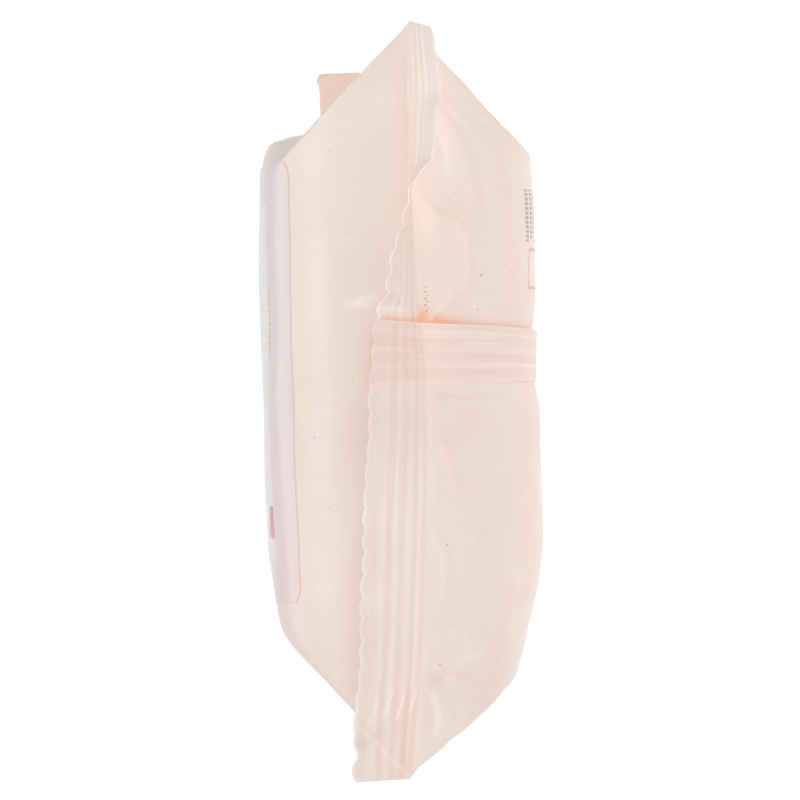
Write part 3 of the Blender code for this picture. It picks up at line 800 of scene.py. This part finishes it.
def build_wrapper():
    even = HALF - SPACING * np.arange(PER_SIDE + 1)
    s = np.concatenate([even[:-1], even[:0:-1]])
    front = np.arange(len(s)) < PER_SIDE
    tips = np.abs(s) > HALF - 1e-9
    distance = np.concatenate([np.linspace(FLANGE_WIDTH, 10.2 * MM, 8)[:-1], np.linspace(10.2 * MM, 0, 33)])
    far_distance = distance[np.r_[0:7:2, 7:40:2]]
    through = np.where(tips, 0, np.where(front, 0.5, -0.5)) * FILM
    near_flange = flange(s[None, :], distance[:, None], True, through[None, :])
    far_flange = flange(s[None, :], far_distance[:, None], False, through[None, :])
    near_runs = np.linspace(0, END_RUN, 84)[1:]
    body_runs = np.linspace(END_RUN, FULL_RUN - END_RUN, 42)[1:-1]
    far_runs = FULL_RUN - np.linspace(0, END_RUN, 26)[:0:-1]
    run = np.concatenate([near_runs, body_runs, far_runs])[:, None]
    rows = np.where(
        front[None, :, None],
        film(on_folds(s[None, :], run, True, SPACING), run, True),
        film(on_folds(s[None, :], run, False, SPACING), run, False),
    )
    points = np.concatenate([near_flange, rows, far_flange[::-1]])
    grid_s = np.broadcast_to(s[None, :], points.shape[:2])
    grid_run = np.concatenate([-distance[:, None], run, FULL_RUN + far_distance[::-1, None]])
    grid_run = np.broadcast_to(grid_run, grid_s.shape)
    grid_front = np.broadcast_to(front[None, :], grid_s.shape)
    x, z = points[..., 0], points[..., 2]
    # Painted light per point: orange shade and glow, rosier shade over rose tint, and bright highlights.
    tones = np.zeros((3, *grid_s.shape))
    tones[0] = np.where(
        grid_front, film_tones(grid_s, grid_run, True, x, z), film_tones(grid_s, grid_run, False, x, z)
    )
    for side in (True, False):
        rosy, pale = crease_tones(grid_run, side, x, z)
        tones[1] = np.where(grid_front == side, rosy, tones[1])
        tones[2] = np.where(grid_front == side, pale, tones[2])
    for near, part in ((True, grid_run <= 0), (False, grid_run >= FULL_RUN)):
        out = np.where(near, -grid_run, grid_run - FULL_RUN)
        made = np.array(flange_tones(grid_s, out, near, grid_front))
        tones = np.where(part, made, tones)
    count, around = points.shape[:2]
    walls = ring_quads(count, around)
    # Close each cut edge between the front and the back columns.
    fore = np.arange(0, PER_SIDE + 1)
    aft = (around - np.arange(0, PER_SIDE + 1)) % around
    caps = []
    for row, turned in ((0, False), (count - 1, True)):
        a, b = row * around + fore, row * around + aft
        quads = np.stack([a[1:-2], a[2:-1], b[2:-1], b[1:-2]], axis=-1)
        ends = np.array([[a[0], a[1], b[1]], [a[-2], a[-1], b[-2]]])
        if turned:
            quads, ends = quads[:, ::-1], ends[:, ::-1]
        caps += [quads, ends]
    return finish_mesh(
        "film_wrapper",
        (points + SHIFT).reshape(-1, 3),
        [walls, *caps],
        {"warm": tones[0], "rosy": tones[1], "pale": tones[2]},
        film_material,
    )


wrapper = build_wrapper()


# ---- The fin seal: a thin strip folded flat, from cut edge to cut edge


def build_fin():
    across = np.concatenate([[0.0], np.linspace(0.25, 11.75, 47), [12.0]]) * MM
    share = across / FIN_WIDTH
    distance = np.linspace(FLANGE_WIDTH, 0.15 * MM, 40)
    end_runs = np.linspace(0.3 * MM, END_RUN, 60)
    body_runs = np.linspace(END_RUN, FULL_RUN - END_RUN, 60)[1:-1]
    run = np.concatenate([end_runs, body_runs, FULL_RUN - end_runs[::-1]])[:, None]
    s = FIN_ROOT + across[None, :] * slant(run)
    base = film(s, run, False)
    normal = film_normal(s + 0 * run, np.clip(run, 1 * MM, FULL_RUN - 1 * MM), False)
    from_end = np.minimum(run, FULL_RUN - run)
    open_gap = ease(from_end / (6 * MM)) * (1 - 0.5 * ease((from_end - END_RUN) / (10 * MM)))
    lift = (0.06 + 0.5 * share[None, :] ** 1.4 * open_gap) * MM
    lift = lift + 0.10 * MM * (1 + np.sin(run / (6.3 * MM))) * share[None, :] ** 2
    ribs = 0.06 * MM * np.sin(2 * math.pi * (across[None, :] - 0.9 * MM) / (3.35 * MM))
    ribs = ribs * ease(share * 8) * ease((1 - share) * 10)
    under = base + normal * lift[..., None]
    outer = under + normal * (0.34 * MM + ribs)[..., None]
    s_near = FIN_ROOT + across[None, :] * slant(-distance[:, None])
    s_far = FIN_ROOT + across[None, :] + 0 * distance[:, None]
    near_under = flange(s_near, distance[:, None], True, -0.5 * FILM - 0.06 * MM)
    near_outer = flange(s_near, distance[:, None], True, -0.5 * FILM - 0.06 * MM - 0.30 * MM - ribs * 0.6)
    far_under = flange(s_far, distance[:, None], False, -0.5 * FILM - 0.06 * MM)
    far_outer = flange(s_far, distance[:, None], False, -0.5 * FILM - 0.06 * MM - 0.30 * MM - ribs * 0.6)
    outer = np.concatenate([near_outer, outer, far_outer[::-1]])
    under = np.concatenate([near_under, under, far_under[::-1]])
    loops = np.concatenate([outer, under[:, ::-1]], axis=1)
    count, around = loops.shape[:2]
    walls = ring_quads(count, around)[:, ::-1]
    caps = end_caps(count, around, True)
    both = np.concatenate([across, across[::-1]])[None, :] + np.zeros((count, 1))
    all_run = np.concatenate([-distance[:, None], run, FULL_RUN + distance[::-1, None]])
    lines = drift(FINE, both / (0.55 * MM), all_run / (16 * MM) + 4)
    wave = np.cos(2 * math.pi * (both - 0.9 * MM) / (3.35 * MM) + math.pi / 2)
    # Where the fin crosses the near flange, the flange's ribs show through as painted rosier shade in their
    # valleys and painted highlights on their crests.
    crossing = ease((2 * MM - all_run) / (4 * MM))
    valleys = rib_lines(-all_run, ((1.9, 0.5), (4.6, 0.8), (7.4, 0.8)))
    crests = rib_lines(-all_run, ((1.0, 0.35), (6.0, 0.4), (9.3, 0.5)))
    # Painted light on the fin: orange shade towards the ends, rosier shade and bright highlights across its
    # ribs over its own rose tint, and a highlight along its free edge.
    warm = 0.06 + 0.12 * bell(all_run, 12 * MM) + 0.03 * lines
    warm = warm + crossing * 0.08 * valleys
    rosy = 0.18 + 0.12 * bell(1 + wave, 0.3) + 0.34 * np.clip(lines, 0, 1) ** 2
    rosy = rosy + crossing * 0.15 * valleys
    pale = 0.20 * bell(1 - wave, 0.3) + 0.35 * np.clip(-lines, 0, 1) ** 2
    pale = pale + 0.5 * bell(both - FIN_WIDTH, 0.3 * MM)
    pale = pale + crossing * 0.12 * crests
    return finish_mesh(
        "fin_seal",
        (loops + SHIFT).reshape(-1, 3),
        [walls, *caps],
        {"warm": warm, "rosy": rosy, "pale": pale},
        fin_material,
    )


fin = build_fin()


# ---- The reseal label


def build_label():
    near_run = np.interp(10.0 * MM, fine_back, fine_run)
    run = np.concatenate(
        [
            np.linspace(near_run, END_RUN + 4 * MM, 34),
            np.linspace(END_RUN + 4 * MM, FULL_RUN - END_RUN - 4 * MM, 60)[1:-1],
            np.linspace(FULL_RUN - END_RUN - 4 * MM, FULL_RUN - near_run, 34),
        ]
    )
    corner = 3.5 * MM
    from_end = np.minimum(run - run[0], run[-1] - run)
    cut = np.clip(corner - from_end, 0, None)
    inset = corner - np.sqrt(np.maximum(corner**2 - cut**2, 0))
    share = 0.5 - 0.5 * np.cos(np.linspace(0, math.pi, 97))
    share = 0.35 * share + 0.65 * np.linspace(0, 1, 97)
    upper = (LABEL_UPPER - inset)[:, None]
    lower = (inset - LABEL_LOWER)[:, None]
    s = upper + (lower - upper) * share[None, :]
    run_grid = np.broadcast_to(run[:, None], s.shape)
    base = film(s, run_grid, True)
    normal = film_normal(s, run_grid, True)
    top = base + normal * 0.32 * MM
    under = base + normal * 0.17 * MM
    loops = np.concatenate([top, under[:, ::-1]], axis=1)
    count, around = loops.shape[:2]
    walls = ring_quads(count, around)
    caps = end_caps(count, around, False)
    # Distance to the label's outline, for its border.
    middle_s, half_s = (LABEL_UPPER - LABEL_LOWER) / 2, (LABEL_UPPER + LABEL_LOWER) / 2
    du = np.abs(s - middle_s) - half_s + corner
    dv = np.abs(run_grid - (run[0] + run[-1]) / 2) - (run[-1] - run[0]) / 2 + corner
    outside = np.hypot(np.maximum(du, 0), np.maximum(dv, 0)) + np.minimum(np.maximum(du, dv), 0)
    edge = corner - outside
    return finish_mesh(
        "front_label",
        (loops + SHIFT).reshape(-1, 3),
        [walls, *caps],
        {
            "across": there_and_back(s),
            "along": there_and_back(run_grid - run[0]),
            "edge": there_and_back(edge),
        },
        label_material,
    )


label = build_label()

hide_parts("wrapper")
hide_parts("reseal_label")
for piece, slot in ((wrapper, "peach_film"), (fin, "peach_film"), (label, "label_print")):
    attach(piece, "root")


# ---- Floor, light and camera

FLOOR_RADIUS = 0.7
FLOOR_GLOW = 0.45
FLOOR_EXTRA = 0.25  # to the camera and in reflections
ROOM_LIGHT = 0.38
ROOM_EXTRA = 0.55  # in reflections
LAMP_SIZE = 1.2
PHOTO_PIXELS = 800
PIXEL = 0.2177 * MM  # at the near flange
PHOTO_TILT = math.radians(1.9)
CAMERA_DISTANCE = 1.2
SENSOR = 36


def build_floor():
    mesh = bpy.data.meshes.new("floor")
    turn = np.linspace(0, 2 * math.pi, 96, endpoint=False)
    rim = np.stack([FLOOR_RADIUS * np.cos(turn), FLOOR_RADIUS * np.sin(turn), 0 * turn - 0.0002], axis=-1)
    mesh.from_pydata(rim, [], [tuple(range(96))])
    floor = bpy.data.objects.new("floor", mesh)
    bpy.context.scene.collection.objects.link(floor)
    material = bpy.data.materials.new("floor_white")
    material.use_nodes = True
    tree = material.node_tree
    tree.nodes.clear()
    output = tree.nodes.new("ShaderNodeOutputMaterial")
    matte = tree.nodes.new("ShaderNodeBsdfDiffuse")
    matte.inputs["Color"].default_value = (0.5, 0.5, 0.5, 1)
    glow = tree.nodes.new("ShaderNodeEmission")
    glow.inputs["Color"].default_value = (1, 1, 1, 1)
    paths = tree.nodes.new("ShaderNodeLightPath")
    seen = tree.nodes.new("ShaderNodeMath")
    seen.operation = "MAXIMUM"
    tree.links.new(paths.outputs["Is Camera Ray"], seen.inputs[0])
    tree.links.new(paths.outputs["Is Glossy Ray"], seen.inputs[1])
    more = tree.nodes.new("ShaderNodeMath")
    more.operation = "MULTIPLY_ADD"
    more.inputs[1].default_value = FLOOR_EXTRA
    more.inputs[2].default_value = FLOOR_GLOW
    tree.links.new(seen.outputs[0], more.inputs[0])
    tree.links.new(more.outputs[0], glow.inputs["Strength"])
    both = tree.nodes.new("ShaderNodeAddShader")
    tree.links.new(matte.outputs[0], both.inputs[0])
    tree.links.new(glow.outputs[0], both.inputs[1])
    tree.links.new(both.outputs[0], output.inputs["Surface"])
    mesh.materials.append(material)


def build_world():
    world = bpy.data.worlds.new("studio")
    bpy.context.scene.world = world
    world.use_nodes = True
    tree = world.node_tree
    tree.nodes.clear()
    output = tree.nodes.new("ShaderNodeOutputWorld")
    white = tree.nodes.new("ShaderNodeBackground")
    white.inputs["Color"].default_value = (1, 1, 1, 1)
    white.inputs["Strength"].default_value = 1.0
    soft = tree.nodes.new("ShaderNodeBackground")
    soft.inputs["Color"].default_value = (1, 0.995, 0.99, 1)
    paths = tree.nodes.new("ShaderNodeLightPath")
    # Reflections see a brighter room than the film's own light comes from.
    room = tree.nodes.new("ShaderNodeMath")
    room.operation = "MULTIPLY_ADD"
    room.inputs[1].default_value = ROOM_EXTRA
    room.inputs[2].default_value = ROOM_LIGHT
    tree.links.new(paths.outputs["Is Glossy Ray"], room.inputs[0])
    tree.links.new(room.outputs[0], soft.inputs["Strength"])
    mix = tree.nodes.new("ShaderNodeMixShader")
    tree.links.new(paths.outputs["Is Camera Ray"], mix.inputs[0])
    tree.links.new(soft.outputs[0], mix.inputs[1])
    tree.links.new(white.outputs[0], mix.inputs[2])
    tree.links.new(mix.outputs[0], output.inputs["Surface"])


def add_lamp(name, place, target, watts):
    """A soft round lamp that casts no shadow."""
    lamp = bpy.data.lights.new(name, "AREA")
    lamp.shape = "DISK"
    lamp.size = LAMP_SIZE
    lamp.energy = watts
    lamp.use_shadow = False
    made = bpy.data.objects.new(name, lamp)
    bpy.context.scene.collection.objects.link(made)
    made.location = place
    way = Vector(target) - Vector(place)
    made.rotation_euler = way.to_track_quat("-Z", "Y").to_euler()


def build_camera():
    """End-on, level with the middle of the pack and rolled on to its side."""
    camera = bpy.data.cameras.new("camera")
    made = bpy.data.objects.new("camera", camera)
    bpy.context.scene.collection.objects.link(made)
    bpy.context.scene.camera = made
    near_plane = SHIFT[1] - LENGTH / 2
    camera.sensor_width = SENSOR
    camera.lens = SENSOR * CAMERA_DISTANCE / (PHOTO_PIXELS * PIXEL)
    camera.clip_end = 30
    # Image right is -Z turned by the tilt, image up is +X turned by the tilt.
    right = Vector((-math.sin(PHOTO_TILT), 0, -math.cos(PHOTO_TILT)))
    up = Vector((math.cos(PHOTO_TILT), 0, -math.sin(PHOTO_TILT)))
    back = right.cross(up)
    turn = Matrix((right, up, back)).transposed().to_4x4()
    place = Vector((0, near_plane - CAMERA_DISTANCE, SHIFT[2]))
    made.matrix_world = Matrix.Translation(place) @ turn


build_floor()
build_world()
add_lamp("front", (-0.1, -1.9, 0.06), (0, 0, 0.03), 7.0)
add_lamp("over", (0.4, -1.1, 2.0), (0, -0.08, 0.05), 9.7)
add_lamp("top", (0.1, 0.35, 2.3), (0, 0, 0.05), 6.5)
add_lamp("low", (-1.0, -1.0, 1.1), (0, -0.08, 0.05), 5.6)
build_camera()

scene = bpy.context.scene
scene.view_settings.view_transform = "Standard"
